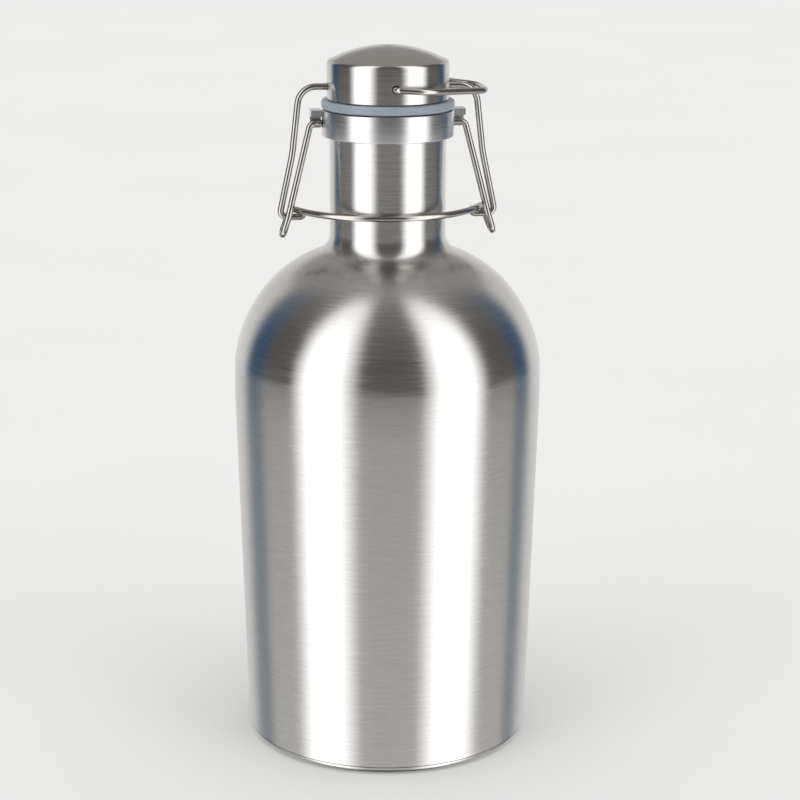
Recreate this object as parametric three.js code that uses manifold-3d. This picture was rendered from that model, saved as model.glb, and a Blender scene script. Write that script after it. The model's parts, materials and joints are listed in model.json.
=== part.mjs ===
// A double-wall steel growler with a swing-top stopper: 64 US fluid ounces, about 1.9 litres.
// Millimetres, +Z up, the origin at the middle of the foot, -Y at the front, the bail axle along X.
import * as THREE from 'three';
import * as BufferGeometryUtils from 'three/addons/utils/BufferGeometryUtils.js';
import Module from 'manifold-3d';

const wasm = await Module();
wasm.setup();

// ---------------------------------------------------------------- driving sizes

const GAP = 0.3; // clearance between pieces that touch on the real object
const SHEET = 0.6; // thickness of the drawn steel
const ROUND_SIDES = 32; // facets round the bottle and the stopper

// the outside of the bottle
const FOOT_RADIUS = 59.9;
const FOOT_CORNER = 3.0;
const BODY_RADIUS = 64.4; // widest, at the start of the shoulder
const SHOULDER_Z = 156.3;
const SHOULDER_WIDTH = 50.4; // half-axes of the shoulder's ellipse
const SHOULDER_HEIGHT = 55.1;
const NECK_RADIUS = 23.9;
const NECK_START_Z = 217.5; // where the straight neck leaves the shoulder's fillet
const FILLET_REACH = 9.5; // height of that fillet

// the mouth
const RIM_Z = 268.0;
const COLLAR_RADIUS = 27.1;
const COLLAR_BOTTOM_Z = 257.2;
const MOUTH_RADIUS = 21.8;
const RIM_LIP = 0.9;

// the stopper
const GASKET_BOTTOM_Z = RIM_Z + 0.4;
const GASKET_TOP_Z = 272.0;
const GASKET_RADIUS = 27.3;
const CAP_RADIUS = 25.0;
const CAP_BOTTOM_Z = GASKET_TOP_Z + GAP;
const CAP_EDGE_RADIUS = 2.0;
const CAP_EDGE_Z = 286.6; // where the straight side ends
const CAP_TOP_Z = 294.0;
const PLUG_RADIUS = 18.8;
const PLUG_BOTTOM_Z = 262.6;

// the wires, all of one gauge
const WIRE_RADIUS = 1.35;
const WIRE_HOLE_RADIUS = 1.8;
const WIRE_SIDES = 8;
const BEND_STEP = THREE.MathUtils.degToRad(24); // turn per facet along a bend

// the hinge lines, all of them above the middle of the foot
const LEVER_PIVOT_Z = 262.5;
const BAIL_PIN_Z = 224.0;
const AXLE_Z = 277.4;
const RING_Z = 278.7;

// ---------------------------------------------------------------- materials

function metal(color, roughness) {
  return new THREE.MeshStandardMaterial({ color, roughness, metalness: 1.0 });
}

function plain(color, roughness) {
  return new THREE.MeshStandardMaterial({ color, roughness, metalness: 0.0 });
}

const brushedSteel = metal(0xb4b2ae, 0.34);
const drawnSteel = metal(0xa9a9a8, 0.4);
const collarSteel = metal(0xc3c6c9, 0.38);
const wireSteel = metal(0xbdb6ae, 0.14);
const siliconeBlue = plain(0x9fb0c2, 0.5);
const corePlastic = plain(0xdfe0dd, 0.45);
const sealGlass = plain(0x6d7a72, 0.3);
const getterMetal = metal(0x7d7a78, 0.6);

// ---------------------------------------------------------------- geometry helpers

const group = new THREE.Group();

function addPiece(name, geometry, material) {
  const mesh = new THREE.Mesh(geometry, material);
  mesh.name = name;
  group.add(mesh);
}

// Turns an outline of (radius, height) points about the Z axis.
function turned(points) {
  const geometry = new THREE.LatheGeometry(points, ROUND_SIDES);
  geometry.rotateX(Math.PI / 2);
  return geometry;
}

// A turned piece with a hole through it: the outline closes on itself.
function turnedRing(points) {
  return turned([...points, points[0].clone()]);
}

function outline(...pairs) {
  return pairs.map(([radius, height]) => new THREE.Vector2(radius, height));
}

function toSolid(geometry) {
  const bare = geometry.clone();
  bare.deleteAttribute('normal');
  bare.deleteAttribute('uv');
  const merged = BufferGeometryUtils.mergeVertices(bare, 1e-4);
  const index = merged.index ?? { array: [...Array(merged.attributes.position.count).keys()] };
  const mesh = new wasm.Mesh({
    numProp: 3,
    vertProperties: new Float32Array(merged.attributes.position.array),
    triVerts: new Uint32Array(index.array),
  });
  return new wasm.Manifold(mesh);
}

function toGeometry(solid) {
  const mesh = solid.getMesh();
  const geometry = new THREE.BufferGeometry();
  geometry.setAttribute('position', new THREE.BufferAttribute(mesh.vertProperties, 3));
  geometry.setIndex(new THREE.BufferAttribute(mesh.triVerts, 1));
  return geometry;
}

// Drills straight round holes; each drill is a cylinder already in place.
function drilled(geometry, drills) {
  let solid = toSolid(geometry);
  for (const hole of drills) {
    solid = solid.subtract(toSolid(hole));
  }
  return toGeometry(solid);
}

// A drill along X or Y at height z, from one distance out to another.
function drill(axis, start, end, z) {
  const geometry = new THREE.CylinderGeometry(WIRE_HOLE_RADIUS, WIRE_HOLE_RADIUS, end - start, 16);
  const middle = (start + end) / 2;
  if (axis === 'x') {
    geometry.rotateZ(Math.PI / 2);
    geometry.translate(middle, 0, z);
  } else {
    geometry.translate(0, middle, z);
  }
  return geometry;
}

// ---------------------------------------------------------------- wire helpers

// A path that visits its stations one by one, so that an extrusion along it
// is cut only where the wire bends.
class StationPath extends THREE.Curve {
  constructor(stations) {
    super();
    this.stations = stations;
  }

  getPointAt(t) {
    const place = t * (this.stations.length - 1);
    return this.stations[Math.round(place)].clone();
  }

  getTangentAt(t) {
    const last = this.stations.length - 1;
    const here = Math.round(t * last);
    const middle = this.stations[here];
    const arriving = middle.clone().sub(this.stations[Math.max(here - 1, 0)]).normalize();
    const leaving = this.stations[Math.min(here + 1, last)].clone().sub(middle).normalize();
    return arriving.add(leaving).normalize();
  }
}

// Stations round one corner: an arc of the given radius between the two straight runs.
function bendStations(before, corner, after, radius) {
  const back = before.clone().sub(corner).normalize();
  const ahead = after.clone().sub(corner).normalize();
  const turn = Math.PI - back.angleTo(ahead);
  const reach = radius * Math.tan(turn / 2);
  const start = corner.clone().addScaledVector(back, reach);
  const inward = back.clone().add(ahead).normalize();
  const centre = corner.clone().addScaledVector(inward, radius / Math.cos(turn / 2));
  const spoke = start.clone().sub(centre);
  const normal = back.clone().negate().cross(ahead).normalize();
  const count = Math.max(1, Math.ceil(turn / BEND_STEP));
  const stations = [];
  for (let i = 0; i <= count; i += 1) {
    stations.push(spoke.clone().applyAxisAngle(normal, (turn * i) / count).add(centre));
  }
  return stations;
}

// A wire run through corners, each written as [x, y, z, bend radius]; ends have no radius.
function wireStations(corners) {
  const places = corners.map(([x, y, z]) => new THREE.Vector3(x, y, z));
  const stations = [places[0]];
  for (let i = 1; i < places.length - 1; i += 1) {
    stations.push(...bendStations(places[i - 1], places[i], places[i + 1], corners[i][3]));
  }
  stations.push(places[places.length - 1]);
  return stations;
}

function wire(stations) {
  const section = new THREE.Shape();
  section.absarc(0, 0, WIRE_RADIUS, 0, 2 * Math.PI);
  return new THREE.ExtrudeGeometry(section, {
    steps: stations.length - 1,
    curveSegments: WIRE_SIDES / 2,
    extrudePath: new StationPath(stations),
  });
}

// The same corners on the other side of the origin along one axis, in the opposite order.
function mirrored(corners, axis) {
  return corners.map((corner) => corner.map((value, i) => (i === axis ? -value : value))).reverse();
}

// ---------------------------------------------------------------- bottle

// Radius of the straight tapered body at a height, set in from the outside by `inset`.
function bodyRadius(z, inset) {
  return FOOT_RADIUS + ((BODY_RADIUS - FOOT_RADIUS) * z) / SHOULDER_Z - inset;
}

// The skin of the bottle from `bottomZ` to where the neck starts, set in by `inset`
// and meeting the neck at `neckRadius`: taper, elliptic shoulder, fillet.
function skin(inset, neckRadius, bottomZ) {
  const width = SHOULDER_WIDTH - inset;
  const height = SHOULDER_HEIGHT - inset;
  const centreRadius = BODY_RADIUS - SHOULDER_WIDTH;
  const filletStartZ = NECK_START_Z - inset - FILLET_REACH;
  const endAngle = Math.asin((filletStartZ - SHOULDER_Z) / height);
  const path = new THREE.Path();
  path.moveTo(bodyRadius(bottomZ, inset), bottomZ);
  path.lineTo(BODY_RADIUS - inset, SHOULDER_Z);
  path.absellipse(centreRadius, SHOULDER_Z, width, height, 0, endAngle, false);
  path.quadraticCurveTo(neckRadius, filletStartZ + FILLET_REACH / 4, neckRadius, NECK_START_Z - inset);
  return path.getPoints(4);
}

// One wall of the bottle below the neck: a skin and, a sheet's thickness inside it, another.
function shell(inset, neckRadius, bottomZ) {
  const outside = skin(inset, neckRadius, bottomZ);
  const inside = skin(inset + SHEET, neckRadius - SHEET, bottomZ);
  return turnedRing([...outside, ...inside.reverse()]);
}

// The straight tube that carries a wall on from its shoulder up to the rim.
function neckTube(radius, inset) {
  const bottomZ = NECK_START_Z - inset + GAP;
  const topZ = RIM_Z - RIM_LIP - GAP;
  return turnedRing(outline(
    [radius, bottomZ],
    [radius, topZ],
    [radius - SHEET, topZ],
    [radius - SHEET, bottomZ],
  ));
}

const VACUUM_SPACE = 3.2; // between the two walls of the body
const LINER_INSET = SHEET + VACUUM_SPACE;
const LINER_JOINT_Z = 22.0; // where the liner's wall stands on its bottom
const LINER_NECK_RADIUS = MOUTH_RADIUS + SHEET;

// Points of a quarter round, from one heading to the next, in (radius, height).
function roundCorner(centreRadius, centreZ, radius, fromDegrees, toDegrees, steps) {
  const points = [];
  for (let i = 0; i <= steps; i += 1) {
    const angle = THREE.MathUtils.degToRad(fromDegrees + ((toDegrees - fromDegrees) * i) / steps);
    const spoke = new THREE.Vector2(radius * Math.cos(angle), radius * Math.sin(angle));
    points.push(spoke.add(new THREE.Vector2(centreRadius, centreZ)));
  }
  return points;
}

// The liner's dished bottom, a cup whose wall meets the liner's wall.
function linerBottom() {
  const floorZ = 10.0;
  const corner = 8.0;
  const topZ = LINER_JOINT_Z - GAP;
  const wall = bodyRadius(topZ, LINER_INSET);
  const centreRadius = wall - corner;
  const centreZ = floorZ + corner;
  return turned([
    new THREE.Vector2(0, floorZ),
    ...roundCorner(centreRadius, centreZ, corner, -90, 0, 4),
    new THREE.Vector2(wall, topZ),
    new THREE.Vector2(wall - SHEET, topZ),
    ...roundCorner(centreRadius, centreZ, corner - SHEET, 0, -90, 4),
    new THREE.Vector2(0, floorZ + SHEET),
  ]);
}

// ---------------------------------------------------------------- foot

const LAND_INNER_RADIUS = 51.0; // the bottle stands on the ring between this and the foot's corner
const PANEL_Z = 5.2; // underside of the base cup's raised panel
const DIMPLE_RADIUS = 2.0;

// The base cup: rounded foot, flat land, raised panel with the evacuation hole in the middle.
function baseCup() {
  const corner = FOOT_RADIUS - FOOT_CORNER;
  return turnedRing([
    new THREE.Vector2(DIMPLE_RADIUS, PANEL_Z),
    new THREE.Vector2(LAND_INNER_RADIUS, PANEL_Z),
    new THREE.Vector2(LAND_INNER_RADIUS, 0),
    ...roundCorner(corner, FOOT_CORNER, FOOT_CORNER, -90, 0, 3),
    new THREE.Vector2(FOOT_RADIUS - SHEET, FOOT_CORNER),
    ...roundCorner(corner, FOOT_CORNER, FOOT_CORNER - SHEET, 0, -90, 3).slice(1),
    new THREE.Vector2(LAND_INNER_RADIUS + SHEET, SHEET),
    new THREE.Vector2(LAND_INNER_RADIUS + SHEET, PANEL_Z + SHEET),
    new THREE.Vector2(DIMPLE_RADIUS, PANEL_Z + SHEET),
  ]);
}

// The cover pressed into the recess under the panel: a shallow cup with its rim upward.
function baseCover() {
  const faceZ = 1.2;
  const rimRadius = LAND_INNER_RADIUS - GAP;
  const rimZ = PANEL_Z - GAP;
  return turned(outline(
    [0, faceZ],
    [rimRadius - 1, faceZ],
    [rimRadius, faceZ + 1],
    [rimRadius, rimZ],
    [rimRadius - SHEET, rimZ],
    [rimRadius - SHEET, faceZ + 1],
    [rimRadius - 1.4, faceZ + SHEET],
    [0, faceZ + SHEET],
  ));
}

// The glass bead melted over the evacuation hole, under the panel.
function vacuumSeal() {
  return turned(outline([0, 2.9], [2.8, 3.3], [3.6, PANEL_Z - GAP], [0, PANEL_Z - GAP]));
}

// The getter, a small cup fixed off centre on the vacuum side of the panel.
function vacuumGetter() {
  const bottomZ = PANEL_Z + SHEET + GAP;
  const geometry = new THREE.CylinderGeometry(5.5, 6.0, 2.2, 20);
  geometry.rotateX(Math.PI / 2);
  geometry.translate(22, 0, bottomZ + 1.1);
  return geometry;
}

// ---------------------------------------------------------------- mouth

// The collar: a heavy ring round the top of the neck whose lip is the mouth's rim.
function neckCollar() {
  const boreRadius = NECK_RADIUS + GAP;
  const bevel = 0.6;
  const ring = turnedRing(outline(
    [boreRadius, COLLAR_BOTTOM_Z],
    [COLLAR_RADIUS - bevel, COLLAR_BOTTOM_Z],
    [COLLAR_RADIUS, COLLAR_BOTTOM_Z + bevel],
    [COLLAR_RADIUS, RIM_Z - 0.3],
    [COLLAR_RADIUS - 0.3, RIM_Z],
    [MOUTH_RADIUS, RIM_Z],
    [MOUTH_RADIUS, RIM_Z - RIM_LIP],
    [boreRadius, RIM_Z - RIM_LIP],
  ));
  const drills = [
    drill('x', NECK_RADIUS, COLLAR_RADIUS + 2, LEVER_PIVOT_Z),
    drill('x', -COLLAR_RADIUS - 2, -NECK_RADIUS, LEVER_PIVOT_Z),
  ];
  return drilled(ring, drills);
}

const LUG_INNER_X = COLLAR_RADIUS + GAP;
const LUG_OUTER_X = 31.8;

// A lug over each lever pivot: a roof with a leg down its rear side, open to the front.
function lug(side) {
  const roof = 2.6;
  const frontY = -2.6;
  const rearY = 4.6;
  const legY = 2.2;
  const legBottomZ = 260.4;
  const corner = 0.7;
  const shape = new THREE.Shape();
  shape.moveTo(frontY, RIM_Z - roof);
  shape.lineTo(legY, RIM_Z - roof);
  shape.lineTo(legY, legBottomZ);
  shape.lineTo(rearY, legBottomZ);
  shape.lineTo(rearY, RIM_Z - corner);
  shape.quadraticCurveTo(rearY, RIM_Z, rearY - corner, RIM_Z);
  shape.lineTo(frontY + corner, RIM_Z);
  shape.quadraticCurveTo(frontY, RIM_Z, frontY, RIM_Z - corner);
  const width = LUG_OUTER_X - LUG_INNER_X;
  const geometry = new THREE.ExtrudeGeometry(shape, { depth: width, bevelEnabled: false, curveSegments: 2 });
  // the outline's own axes become Y and Z, and its depth runs along X
  const toYZX = new THREE.Matrix4().makeBasis(
    new THREE.Vector3(0, 1, 0),
    new THREE.Vector3(0, 0, 1),
    new THREE.Vector3(1, 0, 0),
  );
  geometry.applyMatrix4(toYZX);
  geometry.translate(side > 0 ? LUG_INNER_X : -LUG_OUTER_X, 0, 0);
  return geometry;
}

// ---------------------------------------------------------------- stopper

// The cap: a drawn cup turned over, with a shallow domed top.
function capShell() {
  const domeEdge = CAP_RADIUS - 1.4;
  const domeEdgeZ = CAP_EDGE_Z + CAP_EDGE_RADIUS - 0.3;
  const domeRise = CAP_TOP_Z - domeEdgeZ;
  const domeRadius = (domeEdge ** 2 + domeRise ** 2) / (2 * domeRise);
  const domeAngle = THREE.MathUtils.radToDeg(Math.acos(domeEdge / domeRadius));
  const centreZ = CAP_TOP_Z - domeRadius;
  const edge = CAP_RADIUS - CAP_EDGE_RADIUS;
  const inside = [
    ...roundCorner(0, centreZ, domeRadius - SHEET, 90, domeAngle + 1, 3),
    ...roundCorner(edge, CAP_EDGE_Z, CAP_EDGE_RADIUS - SHEET, 40, 0, 1),
    new THREE.Vector2(CAP_RADIUS - SHEET, CAP_BOTTOM_Z),
  ];
  const outside = [
    new THREE.Vector2(CAP_RADIUS, CAP_BOTTOM_Z),
    ...roundCorner(edge, CAP_EDGE_Z, CAP_EDGE_RADIUS, 0, 40, 2),
    ...roundCorner(0, centreZ, domeRadius, domeAngle, 90, 4),
  ];
  const drills = [
    drill('x', -CAP_RADIUS - 2, CAP_RADIUS + 2, AXLE_Z),
    drill('y', CAP_RADIUS - 3, CAP_RADIUS + 2, RING_Z),
    drill('y', -CAP_RADIUS - 2, -CAP_RADIUS + 3, RING_Z),
  ];
  return drilled(turned([...inside, ...outside]), drills);
}

const CORE_RADIUS = CAP_RADIUS - SHEET - GAP;
const RING_HOLE_DEPTH = 4.2;

// The moulded core that fills the cap, cross-bored for the bail and blind-bored for the ring.
function stopperCore() {
  const topZ = 285.4;
  const body = turned(outline(
    [0, CAP_BOTTOM_Z],
    [CORE_RADIUS, CAP_BOTTOM_Z],
    [CORE_RADIUS, topZ - 1.5],
    [CORE_RADIUS - 1.5, topZ],
    [0, topZ],
  ));
  const reach = CAP_RADIUS + 2;
  const drills = [
    drill('x', -reach, reach, AXLE_Z),
    drill('y', CAP_RADIUS - RING_HOLE_DEPTH, reach, RING_Z),
    drill('y', -reach, -CAP_RADIUS + RING_HOLE_DEPTH, RING_Z),
  ];
  return drilled(body, drills);
}

// The silicone seal, with a rounded outer edge.
function gasket() {
  const edge = 0.9;
  const neckInGasket = PLUG_RADIUS - 0.8;
  return turnedRing([
    new THREE.Vector2(neckInGasket + GAP, GASKET_BOTTOM_Z),
    ...roundCorner(GASKET_RADIUS - edge, GASKET_BOTTOM_Z + edge, edge, -90, 0, 2),
    ...roundCorner(GASKET_RADIUS - edge, GASKET_TOP_Z - edge, edge, 0, 90, 2),
    new THREE.Vector2(neckInGasket + GAP, GASKET_TOP_Z),
  ]);
}

// The plug: a steel cup under the seal that hangs in the mouth.
function plugCup() {
  const wall = 1.0;
  const step = 0.8;
  const corner = 1.5;
  const beadTopZ = GASKET_BOTTOM_Z - GAP;
  const neckInGasket = PLUG_RADIUS - step;
  return turned(outline(
    [0, PLUG_BOTTOM_Z],
    [PLUG_RADIUS - corner, PLUG_BOTTOM_Z],
    [PLUG_RADIUS, PLUG_BOTTOM_Z + corner],
    [PLUG_RADIUS, beadTopZ - step],
    [neckInGasket, beadTopZ],
    [neckInGasket, GASKET_TOP_Z],
    [neckInGasket - wall, GASKET_TOP_Z],
    [neckInGasket - wall, PLUG_BOTTOM_Z + corner],
    [neckInGasket - corner - wall, PLUG_BOTTOM_Z + wall],
    [0, PLUG_BOTTOM_Z + wall],
  ));
}

// ---------------------------------------------------------------- lever

const CROSSBAR_Z = BAIL_PIN_Z + 2 * WIRE_RADIUS + GAP;
const CROSSBAR_RADIUS = 41.0; // bow of the crossbar, seen from above
const CROSSBAR_FRONT_Y = -(NECK_RADIUS + WIRE_RADIUS + GAP);
const BOW_END_Y = -4.0;
const STRAND_Y = 2 * WIRE_RADIUS + GAP; // the loop's strands stand this far to each side of the pin

// Stations along the bowed crossbar from the left root to the right one.
function crossbarStations() {
  const centreY = CROSSBAR_FRONT_Y + CROSSBAR_RADIUS;
  const half = Math.acos((centreY - BOW_END_Y) / CROSSBAR_RADIUS);
  const count = 12;
  const stations = [];
  for (let i = 0; i <= count; i += 1) {
    const angle = half * ((2 * i) / count - 1);
    const x = CROSSBAR_RADIUS * Math.sin(angle);
    const y = centreY - CROSSBAR_RADIUS * Math.cos(angle);
    stations.push(new THREE.Vector3(x, y, CROSSBAR_Z));
  }
  return stations;
}

// Corners of the right arm, from the bow's end to the pivot: over the pin, down the rear strand,
// round the bottom of the loop, up the front strand and the arm, and into the collar.
function leverArm(bowEnd) {
  const slope = (CROSSBAR_FRONT_Y + CROSSBAR_RADIUS - bowEnd.y) / bowEnd.x;
  const rootX = bowEnd.x + (STRAND_Y + 0.2 - bowEnd.y) * slope;
  const loopX = 43.9;
  const loopZ = 216.8;
  return [
    [bowEnd.x, bowEnd.y, CROSSBAR_Z],
    [rootX, STRAND_Y + 0.2, CROSSBAR_Z, 2.5],
    [loopX, STRAND_Y, loopZ, STRAND_Y - 0.05],
    [loopX, -STRAND_Y, loopZ, STRAND_Y - 0.05],
    [41.6, -STRAND_Y, BAIL_PIN_Z, 12],
    [31.9, 0, LEVER_PIVOT_Z, 2.6],
    [NECK_RADIUS + 1.0, 0, LEVER_PIVOT_Z],
  ];
}

function leverWire() {
  const bow = crossbarStations();
  const right = wireStations(leverArm(bow[bow.length - 1])).slice(1);
  const left = right.map((place) => new THREE.Vector3(-place.x, place.y, place.z)).reverse();
  return wire([...left, ...bow, ...right]);
}

// ---------------------------------------------------------------- bail

// Corners of the right half of the bail: the axle through the cap, the shoulder, the arm,
// the pin turned in through the lever's loop, and the pin's upturned end.
const BAIL_RIGHT = [
  [36.5, 0, AXLE_Z, 7.0],
  [39.4, 0, 250.0, 40],
  [45.0, 0, BAIL_PIN_Z, 2.6],
  [34.9, 0, BAIL_PIN_Z, 1.9],
  [34.9, 0, BAIL_PIN_Z + 2.3],
];

function bailWire() {
  const left = mirrored(BAIL_RIGHT, 0);
  return wire(wireStations([...left, ...BAIL_RIGHT]));
}

// ---------------------------------------------------------------- lift ring

const RING_LEG_Y = 27.2;
const RING_FAR_X = 39.1;
const RING_DROOP = THREE.MathUtils.degToRad(3.8); // it lies on the right shoulder of the bail

// Corners of the front half of the ring, lying flat in its own plane.
const RING_FRONT = [
  [0, -CAP_RADIUS + 3.4, 0],
  [0, -RING_LEG_Y, 0, 2.0],
  [13, -RING_LEG_Y, 0, 14],
  [RING_FAR_X, -10, 0, 9],
];

function liftRing() {
  const rear = mirrored(RING_FRONT, 1);
  const geometry = wire(wireStations([...RING_FRONT, ...rear]));
  geometry.rotateY(RING_DROOP);
  geometry.translate(0, 0, RING_Z);
  return geometry;
}

// ---------------------------------------------------------------- assembly

addPiece('outer_shell', shell(0, NECK_RADIUS, FOOT_CORNER + GAP), brushedSteel);
addPiece('outer_neck', neckTube(NECK_RADIUS, 0), brushedSteel);
addPiece('base_cup', baseCup(), drawnSteel);
addPiece('base_cover', baseCover(), brushedSteel);
addPiece('vacuum_seal', vacuumSeal(), sealGlass);
addPiece('vacuum_getter', vacuumGetter(), getterMetal);
addPiece('liner_wall', shell(LINER_INSET, LINER_NECK_RADIUS, LINER_JOINT_Z), drawnSteel);
addPiece('liner_neck', neckTube(LINER_NECK_RADIUS, LINER_INSET), drawnSteel);
addPiece('liner_bottom', linerBottom(), drawnSteel);
addPiece('neck_collar', neckCollar(), collarSteel);
addPiece('lug_left', lug(-1), collarSteel);
addPiece('lug_right', lug(1), collarSteel);
addPiece('lever_wire', leverWire(), wireSteel);
addPiece('bail_wire', bailWire(), wireSteel);
addPiece('cap_shell', capShell(), brushedSteel);
addPiece('stopper_core', stopperCore(), corePlastic);
addPiece('gasket', gasket(), siliconeBlue);
addPiece('plug_cup', plugCup(), drawnSteel);
addPiece('lift_ring', liftRing(), wireSteel);

export default group;
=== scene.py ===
"""A steel growler with a swing-top stopper, standing in a plain pale studio."""
import json
import math

import bmesh
import bpy
from mathutils import Euler, Matrix, Quaternion, Vector


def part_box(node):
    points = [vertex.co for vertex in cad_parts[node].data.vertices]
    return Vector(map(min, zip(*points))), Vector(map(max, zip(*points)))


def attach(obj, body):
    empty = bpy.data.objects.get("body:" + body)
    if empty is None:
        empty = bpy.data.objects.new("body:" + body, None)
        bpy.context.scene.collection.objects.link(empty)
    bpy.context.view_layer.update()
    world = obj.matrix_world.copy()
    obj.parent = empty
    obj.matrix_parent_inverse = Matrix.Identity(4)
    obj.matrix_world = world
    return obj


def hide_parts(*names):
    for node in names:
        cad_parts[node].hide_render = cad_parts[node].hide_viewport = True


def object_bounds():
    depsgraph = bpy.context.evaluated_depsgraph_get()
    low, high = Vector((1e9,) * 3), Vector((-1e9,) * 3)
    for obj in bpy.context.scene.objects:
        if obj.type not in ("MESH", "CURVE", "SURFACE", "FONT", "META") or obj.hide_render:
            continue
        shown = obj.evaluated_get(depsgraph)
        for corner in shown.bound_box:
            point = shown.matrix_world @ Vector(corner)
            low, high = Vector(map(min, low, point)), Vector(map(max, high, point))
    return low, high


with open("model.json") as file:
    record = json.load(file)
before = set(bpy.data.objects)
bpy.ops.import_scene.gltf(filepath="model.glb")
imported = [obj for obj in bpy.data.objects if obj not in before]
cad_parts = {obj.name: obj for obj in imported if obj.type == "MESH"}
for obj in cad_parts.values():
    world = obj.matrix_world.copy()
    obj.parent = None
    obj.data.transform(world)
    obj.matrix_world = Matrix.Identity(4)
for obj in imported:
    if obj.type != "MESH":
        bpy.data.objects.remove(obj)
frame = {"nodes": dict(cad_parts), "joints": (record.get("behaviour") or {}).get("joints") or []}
cad_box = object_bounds()

# ------------------------------------------------------------------ sizes, in metres

MM = 0.001
GAP = 0.3 * MM
SHEET = 0.6 * MM
ROUND_SIDES = 192
HOLE_SIDES = 48
SHARP_ANGLE = math.radians(32)


def joint_height(name):
    """Height of a hinge line above the foot."""
    return next(j["pos_m"][2] for j in frame["joints"] if j["name"] == name)


def reach(node):
    """Largest X of a CAD node: the outer radius of a turned piece."""
    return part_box(node)[1].x


def bottom(node):
    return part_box(node)[0].z


def top(node):
    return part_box(node)[1].z


BODY_RADIUS = reach("outer_shell")
FOOT_RADIUS = reach("base_cup")
FOOT_CORNER = 3.0 * MM
SHOULDER_Z = 156.3 * MM
SHOULDER_WIDTH = 50.4 * MM
SHOULDER_HEIGHT = 55.1 * MM
NECK_RADIUS = 23.9 * MM
NECK_START_Z = 217.5 * MM
FILLET_REACH = 9.5 * MM
VACUUM_SPACE = 3.2 * MM

RIM_Z = top("neck_collar")
RIM_LIP = 0.9 * MM
COLLAR_RADIUS = reach("neck_collar")
MOUTH_RADIUS = 21.8 * MM

CAP_RADIUS = reach("cap_shell")
CAP_TOP_Z = top("cap_shell")
CAP_EDGE_Z = 286.6 * MM
CAP_EDGE_RADIUS = 2.0 * MM

WIRE_RADIUS = 1.35 * MM
HOLE_RADIUS = 1.8 * MM
LEVER_PIVOT_Z = joint_height("lever_pivot")
BAIL_PIN_Z = joint_height("bail_pivot")
AXLE_Z = joint_height("stopper_tilt")
RING_Z = joint_height("ring_swing")


# ------------------------------------------------------------------ outlines of turned pieces

def arc(centre, radius, start, end, steps):
    """Points of a round stretch, as (radius, height); radius is one number or two half-axes."""
    across, up = radius if isinstance(radius, tuple) else (radius, radius)
    points = []
    for i in range(steps + 1):
        angle = math.radians(start + (end - start) * i / steps)
        points.append((centre[0] + across * math.cos(angle), centre[1] + up * math.sin(angle)))
    return points


def curve(start, control, end, steps):
    """Points of a smooth stretch that heads for the control point and away from it."""
    points = []
    for i in range(steps + 1):
        t = i / steps
        weights = ((1 - t) ** 2, 2 * t * (1 - t), t ** 2)
        points.append(tuple(
            sum(w * p[axis] for w, p in zip(weights, (start, control, end))) for axis in (0, 1)
        ))
    return points


def body_radius(z, inset):
    """Radius of the straight tapered body."""
    return FOOT_RADIUS + (BODY_RADIUS - FOOT_RADIUS) * z / SHOULDER_Z - inset


def skin(inset, neck_radius, bottom_z, top_z):
    """Body, shoulder and neck of one wall, from the bottom up."""
    half_axes = (SHOULDER_WIDTH - inset, SHOULDER_HEIGHT - inset)
    centre = (BODY_RADIUS - SHOULDER_WIDTH, SHOULDER_Z)
    blend_z = SHOULDER_Z - 12 * MM
    blend_angle = 8
    fillet_z = NECK_START_Z - inset - FILLET_REACH
    fillet_angle = math.degrees(math.asin((fillet_z - SHOULDER_Z) / half_axes[1]))
    shoulder = arc(centre, half_axes, blend_angle, fillet_angle, 40)
    widest = (BODY_RADIUS - inset - 0.1 * MM, SHOULDER_Z)
    blend = curve((body_radius(blend_z, inset), blend_z), widest, shoulder[0], 8)
    fillet = curve(
        shoulder[-1],
        (neck_radius, fillet_z + FILLET_REACH / 4),
        (neck_radius, NECK_START_Z - inset),
        12,
    )
    body_steps = 8
    body = []
    for i in range(body_steps):
        z = bottom_z + (blend_z - bottom_z) * i / body_steps
        body.append((body_radius(z, inset), z))
    return body + blend + shoulder[1:] + fillet[1:] + [(neck_radius, top_z)]


def wall(inset, neck_radius, bottom_z, top_z):
    """A closed outline: the skin and, one sheet's thickness inside it, the skin again."""
    outside = skin(inset, neck_radius, bottom_z, top_z)
    inside = skin(inset + SHEET, neck_radius - SHEET, bottom_z, top_z)
    return outside + inside[::-1]


# ------------------------------------------------------------------ mesh helpers

def smooth_but_crisp(shape):
    """Shades a bmesh smooth, apart from the edges that turn more than the sharp angle."""
    for face in shape.faces:
        face.smooth = True
    for edge in shape.edges:
        edge.smooth = len(edge.link_faces) == 2 and edge.calc_face_angle(0) < SHARP_ANGLE


def object_from(shape, name):
    """Turns a bmesh into an object in the scene."""
    mesh = bpy.data.meshes.new(name)
    shape.to_mesh(mesh)
    shape.free()
    made = bpy.data.objects.new(name, mesh)
    bpy.context.scene.collection.objects.link(made)
    return made


def piece_from(shape, name, body, material, nodes):
    """Finishes a bmesh as a piece that rides on a body in place of CAD nodes."""
    bmesh.ops.recalc_face_normals(shape, faces=shape.faces)
    smooth_but_crisp(shape)
    piece = object_from(shape, name)
    piece.data.materials.append(material)
    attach(piece, body)
    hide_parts(*nodes)
    return piece


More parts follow.
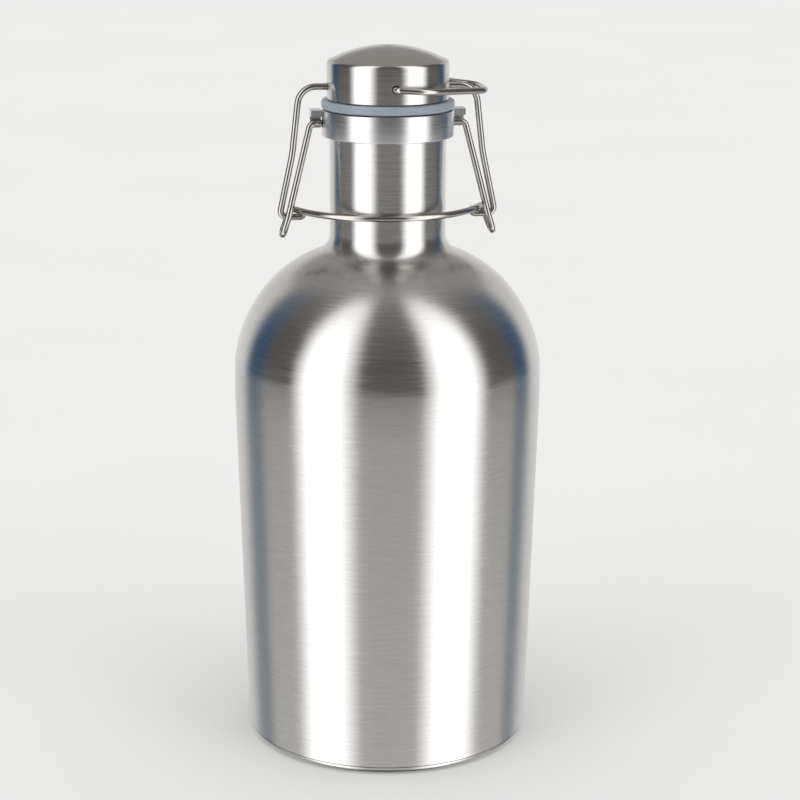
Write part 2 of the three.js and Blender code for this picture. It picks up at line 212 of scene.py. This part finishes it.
def turned(outline, closed=True):
    """Turns an outline about the Z axis into a closed bmesh.

    A closed outline joins its last point to its first. Any other starts and ends on the axis.
    """
    shape = bmesh.new()
    rings = []
    for radius, height in outline:
        if radius < 1e-7:
            rings.append([shape.verts.new((0, 0, height))])
            continue
        ring = []
        for i in range(ROUND_SIDES):
            angle = 2 * math.pi * i / ROUND_SIDES
            ring.append(shape.verts.new((radius * math.cos(angle), radius * math.sin(angle), height)))
        rings.append(ring)
    pairs = list(zip(rings, rings[1:]))
    if closed:
        pairs.append((rings[-1], rings[0]))
    for low, high in pairs:
        for i in range(ROUND_SIDES):
            j = (i + 1) % ROUND_SIDES
            corners = [low[i % len(low)], low[j % len(low)], high[j % len(high)], high[i % len(high)]]
            shape.faces.new(list(dict.fromkeys(corners)))
    return shape


def drill(piece, direction, start, end, height):
    """Cuts a round hole along X or Y through a piece that is already made."""
    rod = bmesh.new()
    bmesh.ops.create_cone(
        rod, cap_ends=True, segments=HOLE_SIDES, radius1=HOLE_RADIUS, radius2=HOLE_RADIUS, depth=end - start,
    )
    cutter = object_from(rod, "cutter")
    cutter.rotation_mode = "QUATERNION"
    cutter.rotation_quaternion = Vector((0, 0, 1)).rotation_difference(direction)
    cutter.location = direction * (start + end) / 2 + Vector((0, 0, height))
    cut = piece.modifiers.new("hole", "BOOLEAN")
    cut.operation = "DIFFERENCE"
    cut.solver = "EXACT"
    cut.object = cutter
    bpy.context.view_layer.update()
    depsgraph = bpy.context.evaluated_depsgraph_get()
    result = bpy.data.meshes.new_from_object(piece.evaluated_get(depsgraph))
    piece.modifiers.clear()
    piece.data = result
    bpy.data.objects.remove(cutter)
    shape = bmesh.new()
    shape.from_mesh(result)
    smooth_but_crisp(shape)
    shape.to_mesh(result)
    shape.free()


# ------------------------------------------------------------------ wire helpers

BEND_STEP = math.radians(7)
WIRE_SIDES = 24
END_ROUND = 0.6  # share of the wire's radius that its end stations step in by
END_STEPS = 4
END_START = math.radians(8)


def bend(before, corner, after, radius):
    """Stations round one corner of a wire's run."""
    back = (before - corner).normalized()
    ahead = (after - corner).normalized()
    turn = math.pi - back.angle(ahead)
    start = corner + back * radius * math.tan(turn / 2)
    centre = corner + (back + ahead).normalized() * radius / math.cos(turn / 2)
    axis = (-back).cross(ahead).normalized()
    count = max(2, math.ceil(turn / BEND_STEP))
    return [
        centre + Quaternion(axis, turn * i / count) @ (start - centre) for i in range(count + 1)
    ]


def run(corners):
    """Stations of a wire through corners in millimetres, each (x, y, z, bend radius)."""
    places = [Vector(corner[:3]) * MM for corner in corners]
    stations = [places[0]]
    for i in range(1, len(places) - 1):
        stations += bend(places[i - 1], places[i], places[i + 1], corners[i][3] * MM)
    return stations + [places[-1]]


def rounded_ends(stations):
    """Stations and radii of a wire, with a few narrower stations at each end.

    Known fault: the narrow stations run back along the wire, so an end comes out as a
    small pit with a thin fin across it, and not as a rounded tip.
    """
    first = (stations[1] - stations[0]).normalized()
    last = (stations[-1] - stations[-2]).normalized()
    head = []
    tail = []
    for i in range(END_STEPS):
        rise = math.sin(END_START + math.pi / 2 * i / END_STEPS)
        inset = WIRE_RADIUS * END_ROUND * (1 - rise)
        radius = (WIRE_RADIUS - inset) * math.sqrt(rise)
        head.append((stations[0] + first * inset, radius))
        tail.append((stations[-1] - last * inset, radius))
    middle = [(place, WIRE_RADIUS) for place in stations[1:-1]]
    return head + middle + tail[::-1]


def wire(stations):
    """Sweeps the wire's round section along its stations."""
    shape = bmesh.new()
    path = rounded_ends(stations)
    places = [place for place, _ in path]
    heading = (places[1] - places[0]).normalized()
    side = heading.orthogonal().normalized()
    rings = []
    for i, (place, radius) in enumerate(path):
        arriving = (place - places[i - 1]).normalized() if i else heading
        leaving = (places[i + 1] - place).normalized() if i + 1 < len(path) else arriving
        new_heading = (arriving + leaving).normalized()
        side = heading.rotation_difference(new_heading) @ side
        heading = new_heading
        other = heading.cross(side)
        ring = []
        for k in range(WIRE_SIDES):
            angle = 2 * math.pi * k / WIRE_SIDES
            ring.append(shape.verts.new(place + (side * math.cos(angle) + other * math.sin(angle)) * radius))
        rings.append(ring)
    for low, high in zip(rings, rings[1:]):
        for k in range(WIRE_SIDES):
            n = (k + 1) % WIRE_SIDES
            shape.faces.new((low[k], low[n], high[n], high[k]))
    shape.faces.new(rings[0])
    shape.faces.new(rings[-1])
    return shape


def mirrored(corners, axis):
    """The same corners across the origin along one axis, in the opposite order."""
    return [
        tuple(-value if i == axis else value for i, value in enumerate(corner))
        for corner in reversed(corners)
    ]


# ------------------------------------------------------------------ materials

def new_material(name):
    material = bpy.data.materials.new(name)
    material.use_nodes = True
    return material, material.node_tree, material.node_tree.nodes["Principled BSDF"]


def math_node(tree, operation, first, second=None):
    node = tree.nodes.new("ShaderNodeMath")
    node.operation = operation
    for socket, value in zip(node.inputs, (first, second)):
        if value is None:
            continue
        if isinstance(value, (int, float)):
            socket.default_value = value
        else:
            tree.links.new(value, socket)
    return node.outputs[0]


def brushing(tree, along, across):
    """Noise drawn out into fine lines round the axis.

    The lines follow height on an upright wall and radius on a level one, so they stay
    rings over the shoulder and the dome. along and across are repeats per metre.
    """
    place = tree.nodes.new("ShaderNodeTexCoord").outputs["Object"]
    parts = tree.nodes.new("ShaderNodeSeparateXYZ")
    tree.links.new(place, parts.inputs[0])
    x, y, z = parts.outputs
    squares = math_node(tree, "ADD", math_node(tree, "MULTIPLY", x, x), math_node(tree, "MULTIPLY", y, y))
    radius = math_node(tree, "SQRT", squares)
    meridian = math_node(tree, "SUBTRACT", z, radius)
    vector = tree.nodes.new("ShaderNodeCombineXYZ")
    tree.links.new(math_node(tree, "MULTIPLY", x, along), vector.inputs[0])
    tree.links.new(math_node(tree, "MULTIPLY", y, along), vector.inputs[1])
    tree.links.new(math_node(tree, "MULTIPLY", meridian, across), vector.inputs[2])
    noise = tree.nodes.new("ShaderNodeTexNoise")
    noise.inputs["Scale"].default_value = 1.0
    noise.inputs["Detail"].default_value = 3.0
    noise.inputs["Roughness"].default_value = 0.6
    tree.links.new(vector.outputs[0], noise.inputs["Vector"])
    return noise.outputs["Fac"]


def ramp(tree, factor, low, high, start=0.3, end=0.7, eased=False):
    """Two colours or two greys blended by a factor."""
    node = tree.nodes.new("ShaderNodeValToRGB")
    node.color_ramp.interpolation = "EASE" if eased else "LINEAR"
    node.color_ramp.elements[0].position = start
    node.color_ramp.elements[1].position = end
    node.color_ramp.elements[0].color = (*low, 1)
    node.color_ramp.elements[1].color = (*high, 1)
    tree.links.new(factor, node.inputs[0])
    return node.outputs[0]


def bump(tree, height, distance, strength=1.0):
    node = tree.nodes.new("ShaderNodeBump")
    node.inputs["Distance"].default_value = distance
    node.inputs["Strength"].default_value = strength
    tree.links.new(height, node.inputs["Height"])
    return node.outputs[0]


def round_tangent(tree):
    node = tree.nodes.new("ShaderNodeTangent")
    node.direction_type = "RADIAL"
    node.axis = "Z"
    return node.outputs[0]


def brushed_metal(name, dark, light, roughness, groove, anisotropy=0.75):
    """Steel brushed round the axis: fine grooves, streaks of tone and uneven gloss."""
    material, tree, shader = new_material(name)
    fine = brushing(tree, 110, 2000)
    broad = brushing(tree, 60, 1200)
    fine_share = math_node(tree, "MULTIPLY", fine, 0.6)
    broad_share = math_node(tree, "MULTIPLY", broad, 0.4)
    streaks = math_node(tree, "ADD", fine_share, broad_share)
    tree.links.new(ramp(tree, streaks, dark, light), shader.inputs["Base Color"])
    low = (roughness - 0.04,) * 3
    high = (roughness + 0.04,) * 3
    tree.links.new(ramp(tree, broad, low, high), shader.inputs["Roughness"])
    tree.links.new(bump(tree, fine, groove), shader.inputs["Normal"])
    tree.links.new(round_tangent(tree), shader.inputs["Tangent"])
    shader.inputs["Metallic"].default_value = 1.0
    shader.inputs["Anisotropic"].default_value = anisotropy
    shader.inputs["Anisotropic Rotation"].default_value = 0.25
    return material


def speckled_metal(name, dark, light, roughness, grain, depth):
    """Metal with a fine even grain: drawn sheet, or polished wire with faint marks."""
    material, tree, shader = new_material(name)
    place = tree.nodes.new("ShaderNodeTexCoord").outputs["Object"]
    noise = tree.nodes.new("ShaderNodeTexNoise")
    noise.inputs["Scale"].default_value = grain
    noise.inputs["Detail"].default_value = 4.0
    tree.links.new(place, noise.inputs["Vector"])
    factor = noise.outputs["Fac"]
    tree.links.new(ramp(tree, factor, dark, light), shader.inputs["Base Color"])
    low = (roughness - 0.03,) * 3
    high = (roughness + 0.03,) * 3
    tree.links.new(ramp(tree, factor, low, high), shader.inputs["Roughness"])
    tree.links.new(bump(tree, factor, depth), shader.inputs["Normal"])
    shader.inputs["Metallic"].default_value = 1.0
    return material


def soft_plastic(name, dark, light, roughness, depth, glow_through=0.0):
    """Moulded plastic or silicone with a slightly cloudy body and a fine skin."""
    material, tree, shader = new_material(name)
    place = tree.nodes.new("ShaderNodeTexCoord").outputs["Object"]
    cloud = tree.nodes.new("ShaderNodeTexNoise")
    cloud.inputs["Scale"].default_value = 90
    cloud.inputs["Detail"].default_value = 3.0
    grain = tree.nodes.new("ShaderNodeTexNoise")
    grain.inputs["Scale"].default_value = 2500
    for noise in (cloud, grain):
        tree.links.new(place, noise.inputs["Vector"])
    tree.links.new(ramp(tree, cloud.outputs["Fac"], dark, light), shader.inputs["Base Color"])
    tree.links.new(bump(tree, grain.outputs["Fac"], depth), shader.inputs["Normal"])
    shader.inputs["Roughness"].default_value = roughness
    shader.inputs["Subsurface Weight"].default_value = glow_through
    shader.inputs["Subsurface Radius"].default_value = (0.6, 0.8, 1.0)
    shader.inputs["Subsurface Scale"].default_value = 1.5 * MM
    return material


BODY_STEEL = brushed_metal("body_steel", (0.54, 0.53, 0.515), (0.66, 0.65, 0.635), 0.23, 0.0006 * MM)
CAP_STEEL = brushed_metal("cap_steel", (0.51, 0.50, 0.485), (0.62, 0.61, 0.595), 0.2, 0.0005 * MM)
COLLAR_STEEL = brushed_metal("collar_steel", (0.60, 0.61, 0.63), (0.70, 0.71, 0.73), 0.3, 0.002 * MM, 0.5)
DRAWN_STEEL = speckled_metal("drawn_steel", (0.52, 0.52, 0.52), (0.62, 0.62, 0.61), 0.33, 900, 0.01 * MM)
LUG_STEEL = speckled_metal("lug_steel", (0.58, 0.59, 0.61), (0.68, 0.69, 0.71), 0.26, 1400, 0.001 * MM)
WIRE_STEEL = speckled_metal("wire_steel", (0.42, 0.40, 0.375), (0.50, 0.475, 0.45), 0.11, 2500, 0.0003 * MM)
GETTER_METAL = speckled_metal("getter_metal", (0.28, 0.27, 0.27), (0.4, 0.39, 0.38), 0.55, 1600, 0.03 * MM)
SILICONE = soft_plastic("silicone", (0.28, 0.325, 0.385), (0.33, 0.375, 0.435), 0.36, 0.005 * MM, 0.35)
CORE_PLASTIC = soft_plastic("core_plastic", (0.72, 0.73, 0.71), (0.8, 0.81, 0.79), 0.45, 0.02 * MM)
SEAL_GLASS = soft_plastic("seal_glass", (0.2, 0.25, 0.23), (0.3, 0.36, 0.33), 0.12, 0.01 * MM)


# ------------------------------------------------------------------ bottle

def outer_shell():
    """The outer wall in one piece, body and neck."""
    outline = wall(0, NECK_RADIUS, bottom("outer_shell"), top("outer_neck"))
    nodes = ["outer_shell", "outer_neck"]
    piece_from(turned(outline), "shell_skin", "bottle", BODY_STEEL, nodes)


def liner():
    """The inner wall in one piece, body and neck, a vacuum space inside the outer one."""
    neck = MOUTH_RADIUS + SHEET
    inset = SHEET + VACUUM_SPACE
    outline = wall(inset, neck, bottom("liner_wall"), top("liner_neck"))
    nodes = ["liner_wall", "liner_neck"]
    piece_from(turned(outline), "liner_skin", "bottle", DRAWN_STEEL, nodes)


def liner_dish():
    """The liner's dished bottom."""
    floor_z = bottom("liner_bottom")
    top_z = top("liner_bottom")
    corner = 8 * MM
    radius = reach("liner_bottom")
    centre = (radius - corner, floor_z + corner)
    outline = [(0, floor_z)]
    outline += arc(centre, corner, -90, 0, 12)
    outline += [(radius, top_z), (radius - SHEET, top_z)]
    outline += arc(centre, corner - SHEET, 0, -90, 12)
    outline += [(0, floor_z + SHEET)]
    piece_from(
        turned(outline, closed=False), "liner_dish", "bottle", DRAWN_STEEL, ["liner_bottom"],
    )


def foot():
    """The base cup: rounded foot, flat land and raised panel round the evacuation hole."""
    panel_z = top("base_cup") - SHEET
    land = 51 * MM
    hole = 2 * MM
    corner = (FOOT_RADIUS - FOOT_CORNER, FOOT_CORNER)
    edge = 0.6 * MM
    outline = [(hole, panel_z), (land - edge, panel_z), (land, panel_z - edge), (land, edge)]
    outline += arc((land + edge, edge), edge, 180, 270, 4)[1:]
    outline += arc(corner, FOOT_CORNER, -90, 0, 12)
    outline += [(FOOT_RADIUS - SHEET, FOOT_CORNER)]
    outline += arc(corner, FOOT_CORNER - SHEET, 0, -90, 12)[1:]
    outline += [(land + SHEET, 2 * SHEET), (land + SHEET, panel_z + SHEET), (hole, panel_z + SHEET)]
    piece_from(turned(outline), "foot_cup", "bottle", BODY_STEEL, ["base_cup"])


def cover():
    """The disc in the foot's recess, with a pressed ring and a rim turned up."""
    face_z = bottom("base_cover")
    rim_z = top("base_cover")
    radius = reach("base_cover")
    edge = 1 * MM
    step = 0.5 * MM
    pressed = 34 * MM
    outline = [(0, face_z + step), (pressed - 2 * step, face_z + step), (pressed, face_z)]
    outline += arc((radius - edge, face_z + edge), edge, -90, 0, 6)
    outline += [(radius, rim_z), (radius - SHEET, rim_z)]
    outline += arc((radius - edge, face_z + edge), edge - SHEET, 0, -90, 4)
    outline += [(pressed, face_z + SHEET), (pressed - 2 * step, face_z + step + SHEET)]
    outline += [(0, face_z + step + SHEET)]
    piece_from(
        turned(outline, closed=False), "foot_cover", "bottle", BODY_STEEL, ["base_cover"],
    )


# ------------------------------------------------------------------ mouth

def collar():
    """The ring round the mouth, with turned edges and a hole each side for the lever."""
    low = bottom("neck_collar")
    bore = NECK_RADIUS + GAP
    bevel = 0.6 * MM
    edge = 0.3 * MM
    outline = [(bore, low)]
    outline += arc((COLLAR_RADIUS - bevel, low + bevel), bevel, -90, 0, 6)
    outline += arc((COLLAR_RADIUS - edge, RIM_Z - edge), edge, 0, 90, 4)
    outline += arc((MOUTH_RADIUS + edge, RIM_Z - edge), edge, 90, 180, 4)
    outline += [(MOUTH_RADIUS, RIM_Z - RIM_LIP), (bore, RIM_Z - RIM_LIP)]
    nodes = ["neck_collar"]
    piece = piece_from(turned(outline), "mouth_collar", "bottle", COLLAR_STEEL, nodes)
    for side in (-1, 1):
        drill(piece, Vector((side, 0, 0)), NECK_RADIUS, COLLAR_RADIUS + 2 * MM, LEVER_PIVOT_Z)


def lug(node, name):
    """A lug over a lever pivot: a roof with a leg down its rear side."""
    low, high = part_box(node)
    roof = 2.6 * MM
    leg_y = 2.2 * MM
    outline = [
        (low.y, high.z - roof),
        (leg_y, high.z - roof),
        (leg_y, low.z),
        (high.y, low.z),
        (high.y, high.z),
        (low.y, high.z),
    ]
    shape = bmesh.new()
    near = [shape.verts.new((low.x, y, z)) for y, z in outline]
    far = [shape.verts.new((high.x, y, z)) for y, z in outline]
    shape.faces.new(near)
    shape.faces.new(far[::-1])
    for i in range(len(outline)):
        j = (i + 1) % len(outline)
        shape.faces.new((near[j], near[i], far[i], far[j]))
    edges = [edge for edge in shape.edges if edge.calc_face_angle(0) > SHARP_ANGLE]
    bmesh.ops.bevel(shape, geom=edges, offset=0.45 * MM, segments=3, profile=0.5, affect="EDGES")
    piece_from(shape, name, "bottle", LUG_STEEL, [node])


# ------------------------------------------------------------------ stopper

def cap():
    """The drawn cap: straight side, rounded edge, shallow dome, holes for bail and ring."""
    low = bottom("cap_shell")
    inner = CAP_RADIUS - CAP_EDGE_RADIUS
    dome_edge = CAP_RADIUS - 1.4 * MM
    dome_edge_z = CAP_EDGE_Z + CAP_EDGE_RADIUS - 0.3 * MM
    rise = CAP_TOP_Z - dome_edge_z
    dome = (dome_edge ** 2 + rise ** 2) / (2 * rise)
    dome_angle = math.degrees(math.acos(dome_edge / dome))
    centre = (0, CAP_TOP_Z - dome)
    lip = 0.25 * MM
    outline = arc(centre, dome - SHEET, 90, dome_angle + 1, 20)
    outline += arc((inner, CAP_EDGE_Z), CAP_EDGE_RADIUS - SHEET, 40, 0, 6)
    outline += [(CAP_RADIUS - SHEET, low), (CAP_RADIUS - lip, low), (CAP_RADIUS, low + lip)]
    outline += arc((inner, CAP_EDGE_Z), CAP_EDGE_RADIUS, 0, 48, 8)
    outline += arc(centre, dome, dome_angle + 1.5, 90, 24)
    shape = turned(outline, closed=False)
    piece = piece_from(shape, "cap_skin", "stopper", CAP_STEEL, ["cap_shell"])
    for side in (-1, 1):
        drill(piece, Vector((side, 0, 0)), CAP_RADIUS - 3 * MM, CAP_RADIUS + 2 * MM, AXLE_Z)
        drill(piece, Vector((0, side, 0)), CAP_RADIUS - 3 * MM, CAP_RADIUS + 2 * MM, RING_Z)


def seal():
    """The silicone seal, with a full rounded edge and a faint moulding line round it."""
    low = bottom("gasket")
    high = top("gasket")
    radius = reach("gasket")
    bore = 18.3 * MM
    edge = 1.0 * MM
    line = 0.08 * MM
    middle = (low + high) / 2
    outline = [(bore, low)]
    outline += arc((radius - edge, low + edge), edge, -90, 0, 8)
    outline += [(radius, middle - 2 * line), (radius - line, middle), (radius, middle + 2 * line)]
    outline += arc((radius - edge, high - edge), edge, 0, 90, 8)
    outline += [(bore, high)]
    piece_from(turned(outline), "seal_ring", "stopper", SILICONE, ["gasket"])


def plug():
    """The steel cup under the seal that hangs in the mouth."""
    low = bottom("plug_cup")
    high = top("plug_cup")
    radius = reach("plug_cup")
    corner = 1.5 * MM
    neck = 18 * MM
    bead_z = bottom("gasket") - GAP
    step = radius - neck
    thick = 1 * MM
    outline = [(0, low)]
    outline += arc((radius - corner, low + corner), corner, -90, 0, 8)
    outline += arc((radius - step, bead_z - step), step, 0, 90, 6)
    outline += [(neck, high), (neck - thick, high), (neck - thick, low + corner)]
    outline += [(neck - corner - thick, low + thick), (0, low + thick)]
    shape = turned(outline, closed=False)
    piece_from(shape, "plug_skin", "stopper", DRAWN_STEEL, ["plug_cup"])


# ------------------------------------------------------------------ wires, corners in millimetres

WIRE = WIRE_RADIUS / MM
CROSSBAR_Z = BAIL_PIN_Z / MM + 2 * WIRE + GAP / MM
CROSSBAR_RADIUS = 41.0
CROSSBAR_FRONT_Y = -(NECK_RADIUS / MM + WIRE + GAP / MM)
BOW_END_Y = -4.0
STRAND_Y = 2 * WIRE + GAP / MM


def crossbar():
    """Stations along the bowed crossbar, from the left root to the right one."""
    centre_y = CROSSBAR_FRONT_Y + CROSSBAR_RADIUS
    half = math.acos((centre_y - BOW_END_Y) / CROSSBAR_RADIUS)
    count = 40
    stations = []
    for i in range(count + 1):
        angle = half * (2 * i / count - 1)
        x = CROSSBAR_RADIUS * math.sin(angle)
        y = centre_y - CROSSBAR_RADIUS * math.cos(angle)
        stations.append(Vector((x, y, CROSSBAR_Z)) * MM)
    return stations


def lever_arm(bow_end):
    """Corners from the bow's end, over the pin, round the loop, up the arm and into the collar."""
    x, y = bow_end.x / MM, bow_end.y / MM
    slope = (CROSSBAR_FRONT_Y + CROSSBAR_RADIUS - y) / x
    root_y = STRAND_Y + 0.2
    loop_x = 43.9
    loop_z = 216.8
    return [
        (x, y, CROSSBAR_Z),
        (x + (root_y - y) * slope, root_y, CROSSBAR_Z, 2.5),
        (loop_x, STRAND_Y, loop_z, STRAND_Y - 0.05),
        (loop_x, -STRAND_Y, loop_z, STRAND_Y - 0.05),
        (41.6, -STRAND_Y, BAIL_PIN_Z / MM, 12),
        (31.9, 0, LEVER_PIVOT_Z / MM, 2.6),
        (NECK_RADIUS / MM + 1.0, 0, LEVER_PIVOT_Z / MM),
    ]


def lever():
    bow = crossbar()
    right = run(lever_arm(bow[-1]))[1:]
    left = [Vector((-place.x, place.y, place.z)) for place in reversed(right)]
    piece_from(wire(left + bow + right), "lever", "lever", WIRE_STEEL, ["lever_wire"])


def bail():
    """Axle through the cap, shoulders, arms, and pins turned in through the lever's loops."""
    right = [
        (36.3, 0, AXLE_Z / MM, 7.4),
        (39.4, 0, 250.0, 40),
        (45.0, 0, BAIL_PIN_Z / MM, 2.6),
        (34.9, 0, BAIL_PIN_Z / MM, 1.9),
        (34.9, 0, BAIL_PIN_Z / MM + 2.3),
    ]
    stations = run(mirrored(right, 0) + right)
    piece_from(wire(stations), "bail", "bail", WIRE_STEEL, ["bail_wire"])


def ring():
    """The lift ring, hooked into the cap front and rear, lying on the bail's right shoulder."""
    leg_y = 27.2
    droop = Quaternion((0, 1, 0), math.radians(3.8))
    front = [
        (0, -CAP_RADIUS / MM + 3.4, 0),
        (0, -leg_y, 0, 2.0),
        (13, -leg_y, 0, 14),
        (39.1, -10, 0, 9),
    ]
    flat = run(front + mirrored(front, 1))
    stations = [droop @ place + Vector((0, 0, RING_Z)) for place in flat]
    piece_from(wire(stations), "ring", "ring", WIRE_STEEL, ["lift_ring"])


# ------------------------------------------------------------------ studio

VIEW_AZIMUTH = math.radians(-8)


def tone_ring(tree, share, tones):
    """Tones round the tent, each at an angle from the camera in degrees, positive to the right."""
    node = tree.nodes.new("ShaderNodeValToRGB")
    elements = node.color_ramp.elements
    for i, (angle, tone) in enumerate(tones):
        place = angle / 360 + 0.5
        element = elements[i] if i < 2 else elements.new(place)
        element.position = place
        element.color = (*tone, 1)
    tree.links.new(share, node.inputs[0])
    return node.outputs[0]


def blended(tree, factor, first, second):
    """The first colour, going over to the second as the factor rises."""
    node = tree.nodes.new("ShaderNodeMix")
    node.data_type = "RGBA"
    tree.links.new(factor, node.inputs["Factor"])
    for name, colour in (("A", first), ("B", second)):
        if isinstance(colour, tuple):
            node.inputs[name].default_value = (*colour, 1)
        else:
            tree.links.new(colour, node.inputs[name])
    return node.outputs["Result"]


def studio_light():
    """An even light tent with two tall soft boxes, blue gaps beyond them and a pale back.

    The steel sees the tent by direction only: a dim level ring, a lighter ring lower down
    where the table is, and a dim ceiling. The camera sees plain pale light, and matt
    surfaces are lit partly by that light and partly by the tent.
    """
    pale = (0.37, 0.365, 0.36)
    low_pale = (0.31, 0.31, 0.305)
    box = (0.9, 0.9, 0.895)
    grey = (0.28, 0.275, 0.268)
    dull_blue = (0.14, 0.154, 0.167)
    dim_blue = (0.022, 0.047, 0.082)
    dim = (0.055, 0.051, 0.048)
    low_tones = [
        (-180, low_pale), (-144, low_pale), (-126, dull_blue), (-114, dull_blue), (-104, grey), (-77, grey),
        (-62, box), (-39, box), (-21, grey), (24, grey), (41, box), (66, box),
        (81, grey), (108, grey), (116, dull_blue), (125, dull_blue), (142, low_pale), (180, low_pale),
    ]
    level_tones = [
        (-180, pale), (-137, pale), (-123, dim_blue), (-111, dim_blue), (-101, dim), (-76, dim),
        (-62, box), (-37, box), (-19, dim), (26, dim), (42, box), (66, box),
        (81, dim), (106, dim), (115, dim_blue), (125, dim_blue), (139, pale), (180, pale),
    ]
    world = bpy.data.worlds.new("studio")
    world.use_nodes = True
    bpy.context.scene.world = world
    tree = world.node_tree
    direction = tree.nodes.new("ShaderNodeTexCoord").outputs["Generated"]
    turn = tree.nodes.new("ShaderNodeVectorRotate")
    turn.rotation_type = "Z_AXIS"
    turn.inputs["Angle"].default_value = -VIEW_AZIMUTH
    tree.links.new(direction, turn.inputs["Vector"])
    parts = tree.nodes.new("ShaderNodeSeparateXYZ")
    tree.links.new(turn.outputs[0], parts.inputs[0])
    x, y, z = parts.outputs
    azimuth = math_node(tree, "ARCTAN2", x, math_node(tree, "MULTIPLY", y, -1.0))
    share = math_node(tree, "ADD", math_node(tree, "DIVIDE", azimuth, 2 * math.pi), 0.5)
    height = math_node(tree, "ADD", math_node(tree, "MULTIPLY", z, 0.5), 0.5)
    behind = math_node(tree, "MULTIPLY", math_node(tree, "MAXIMUM", y, 0.0), 0.7)
    overhead = math_node(tree, "ADD", z, behind)
    black = (0, 0, 0)
    white = (1, 1, 1)
    level = ramp(tree, height, black, white, 0.315, 0.46, eased=True)
    walls = blended(tree, level, tone_ring(tree, share, low_tones), tone_ring(tree, share, level_tones))
    high = ramp(tree, overhead, black, (0.35, 0.35, 0.35), 0.5, 0.93)
    ceiling = blended(tree, ramp(tree, overhead, black, white, 0.93, 1.0), high, white)
    tent = blended(tree, ceiling, walls, (0.165, 0.155, 0.148))
    # Painted shade: straight down the tent goes nearly black, standing in for the floor's contact shadow
    # round the foot as the steel mirrors it.
    contact_shadow_mask = ramp(tree, height, white, black, 0.03, 0.09)
    tent = blended(tree, contact_shadow_mask, tent, (0.05, 0.05, 0.05))
    steel_light = tree.nodes["Background"]
    steel_light.inputs["Strength"].default_value = 2.4
    tree.links.new(tent, steel_light.inputs["Color"])
    plain = tree.nodes.new("ShaderNodeBackground")
    plain.inputs["Color"].default_value = (0.88, 0.88, 0.87, 1)
    path = tree.nodes.new("ShaderNodeLightPath")
    matt = math_node(tree, "MAXIMUM", path.outputs["Is Camera Ray"], path.outputs["Is Diffuse Ray"])
    chosen = tree.nodes.new("ShaderNodeMixShader")
    tree.links.new(matt, chosen.inputs[0])
    tree.links.new(steel_light.outputs[0], chosen.inputs[1])
    tree.links.new(plain.outputs[0], chosen.inputs[2])
    tree.links.new(chosen.outputs[0], tree.nodes["World Output"].inputs["Surface"])


def floor():
    """A wide pale floor; it lights the growler but isn't mirrored in it."""
    shape = bmesh.new()
    bmesh.ops.create_circle(shape, cap_ends=True, segments=96, radius=9.0)
    ground = object_from(shape, "floor")
    ground.location.z = cad_box[0].z - 0.2 * MM
    ground.visible_glossy = False
    material, tree, shader = new_material("floor_paper")
    noise = tree.nodes.new("ShaderNodeTexNoise")
    noise.inputs["Scale"].default_value = 3.0
    tree.links.new(tree.nodes.new("ShaderNodeTexCoord").outputs["Object"], noise.inputs["Vector"])
    colour = ramp(tree, noise.outputs["Fac"], (0.9, 0.9, 0.895), (0.92, 0.92, 0.915))
    tree.links.new(colour, shader.inputs["Base Color"])
    shader.inputs["Roughness"].default_value = 0.9
    ground.data.materials.append(material)


def camera():
    """A long lens in front, a little to the left, looking down at the growler."""
    data = bpy.data.cameras.new("camera")
    data.lens = 99.0
    data.sensor_width = 36.0
    data.clip_end = 50
    eye = bpy.data.objects.new("camera", data)
    bpy.context.scene.collection.objects.link(eye)
    pitch = math.radians(15.06)
    eye.location = Vector((-0.1199, -0.8914, 0.3867))
    level = Euler((math.pi / 2 - pitch, 0, VIEW_AZIMUTH)).to_matrix()
    roll = Matrix.Rotation(math.radians(0.2), 3, "Z")
    eye.rotation_euler = (level @ roll).to_euler()
    bpy.context.scene.camera = eye


# ------------------------------------------------------------------ making the scene

camera()
studio_light()
floor()

outer_shell()
liner()
liner_dish()
foot()
cover()
collar()
lug("lug_left", "left_lug")
lug("lug_right", "right_lug")
cap()
seal()
plug()
lever()
bail()
ring()

for node, material in (
    ("vacuum_seal", SEAL_GLASS),
    ("vacuum_getter", GETTER_METAL),
    ("stopper_core", CORE_PLASTIC),
):
    frame["nodes"][node].data.materials.clear()
    frame["nodes"][node].data.materials.append(material)

bpy.context.scene.view_settings.view_transform = "Standard"
bpy.context.view_layer.update()
